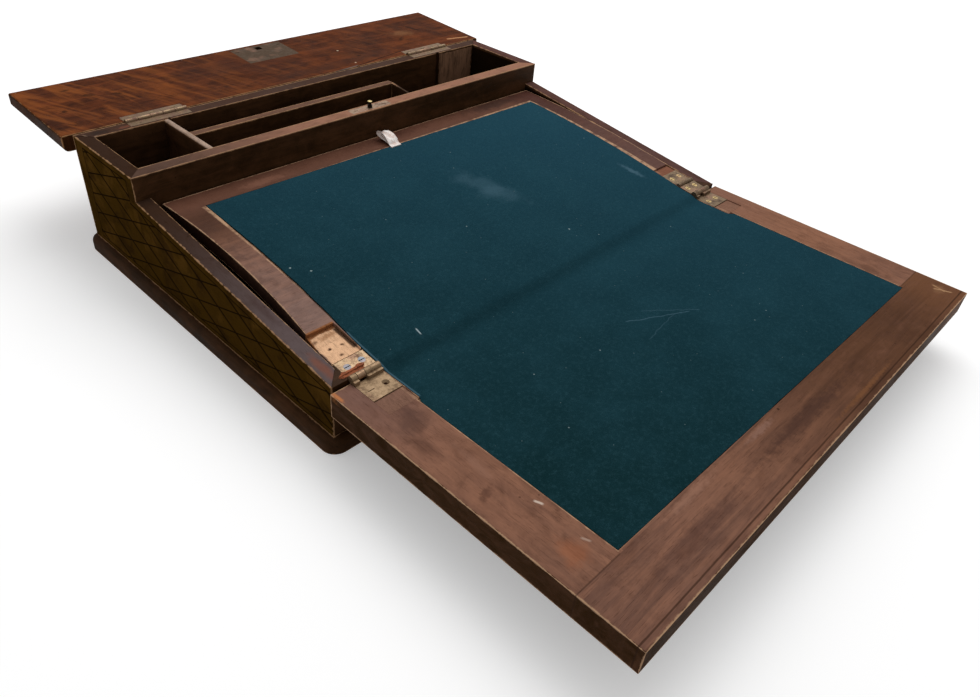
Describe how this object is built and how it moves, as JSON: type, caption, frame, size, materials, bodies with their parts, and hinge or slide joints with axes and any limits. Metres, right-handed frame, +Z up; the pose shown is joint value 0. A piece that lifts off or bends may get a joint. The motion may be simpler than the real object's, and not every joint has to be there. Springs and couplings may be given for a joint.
{
  "type": "writing desk",
  "caption": "Folding writing slope: wedge-shaped wooden case with a lidded well, a lock, and two felt-lined flaps on brass hinges",
  "frame": {"origin": "centre of the case's underside, on the base board", "axes": "+X to the right seen from the front, +Y to the rear, where the lid opens, +Z up"},
  "size_m": [0.349, 0.4951, 0.0794],
  "materials": {
    "case_wood": "worn dark polish",
    "lid_wood": "worn brown polish",
    "flap_wood": "worn brown polish",
    "felt": "matt",
    "ribbon": "matt",
    "brass": "tarnished",
    "lock_brass": "tarnished",
    "steel": "dull"
  },
  "bodies": {
    "case": {"back_board": "case_wood", "base_board": "case_wood", "catch_pin": "steel", "catch_plate": "lock_brass", "catch_screws": "brass", "flap_hinge_middle_left": "brass", "flap_hinge_middle_right": "brass", "front_board": "case_wood", "inner_pin_right": "brass", "ledge_left": "case_wood", "ledge_rear": "case_wood", "ledge_right": "case_wood", "left_divider": "case_wood", "lid_hinge_case_leaf_left": "brass", "lid_hinge_case_leaf_right": "brass", "lid_hinge_case_screws_left": "brass", "lid_hinge_case_screws_right": "brass", "lid_hinge_pin_left": "brass", "lid_hinge_pin_right": "brass", "middle_screws_left": "steel", "middle_screws_right": "brass", "outer_pin_left": "brass", "outer_pin_right": "brass", "plinth_back": "case_wood", "plinth_front": "case_wood", "plinth_left": "case_wood", "plinth_right": "case_wood", "rail_felt": "felt", "side_left": "case_wood", "side_right": "case_wood", "tray_rest_strip": "case_wood", "well_rail": "case_wood"},
    "lid": {"keyhole_plate": "lock_brass", "lid_hinge_lid_leaf_left": "brass", "lid_hinge_lid_leaf_right": "brass", "lid_hinge_lid_screws_left": "brass", "lid_hinge_lid_screws_right": "brass", "lid_panel": "lid_wood", "lock_case": "lock_brass", "lock_plate": "lock_brass", "lock_plate_screws": "brass"},
    "lock_bolt": {"lock_bolt": "steel"},
    "inner_flap": {"flap_hinge_inner_right": "brass", "inner_felt": "felt", "inner_flap_panel": "flap_wood", "inner_screws_right": "brass", "ribbon_pull": "ribbon"},
    "outer_flap": {"flap_hinge_outer_left": "brass", "flap_hinge_outer_right": "brass", "outer_felt": "felt", "outer_flap_core": "flap_wood", "outer_flap_front_member": "flap_wood", "outer_flap_lipping": "flap_wood", "outer_flap_stile_left": "flap_wood", "outer_flap_stile_right": "flap_wood", "outer_screws_left": "brass", "outer_screws_right": "brass"},
    "pen_tray": {"tray_back_wall": "case_wood", "tray_bed_board": "case_wood", "tray_end_slip": "case_wood"}
  },
  "joints": [
    {"name": "lid_hinge", "type": "hinge", "parent": "case", "child": "lid", "pos_m": [0, 0.1227, 0.07515], "axis": [-1, 0, 0], "range_deg": [-177.5, 0]},
    {"name": "outer_flap_hinge", "type": "hinge", "parent": "case", "child": "outer_flap", "pos_m": [0, -0.12299, 0.04004], "axis": [1, 0, 0], "range_deg": [-173.8, 0]},
    {"name": "inner_flap_hinge", "type": "hinge", "parent": "case", "child": "inner_flap", "pos_m": [0, -0.10988, 0.0416], "axis": [1, 0, 0], "range_deg": [0, 95]},
    {"name": "lock_bolt_slide", "type": "slide", "parent": "lid", "child": "lock_bolt", "axis": [1, 0, 0], "range_m": [0, 0.0045]},
    {"name": "pen_tray_lift", "type": "slide", "parent": "case", "child": "pen_tray", "axis": [0, 0, 1], "range_m": [0, 0.06]}
  ]
}
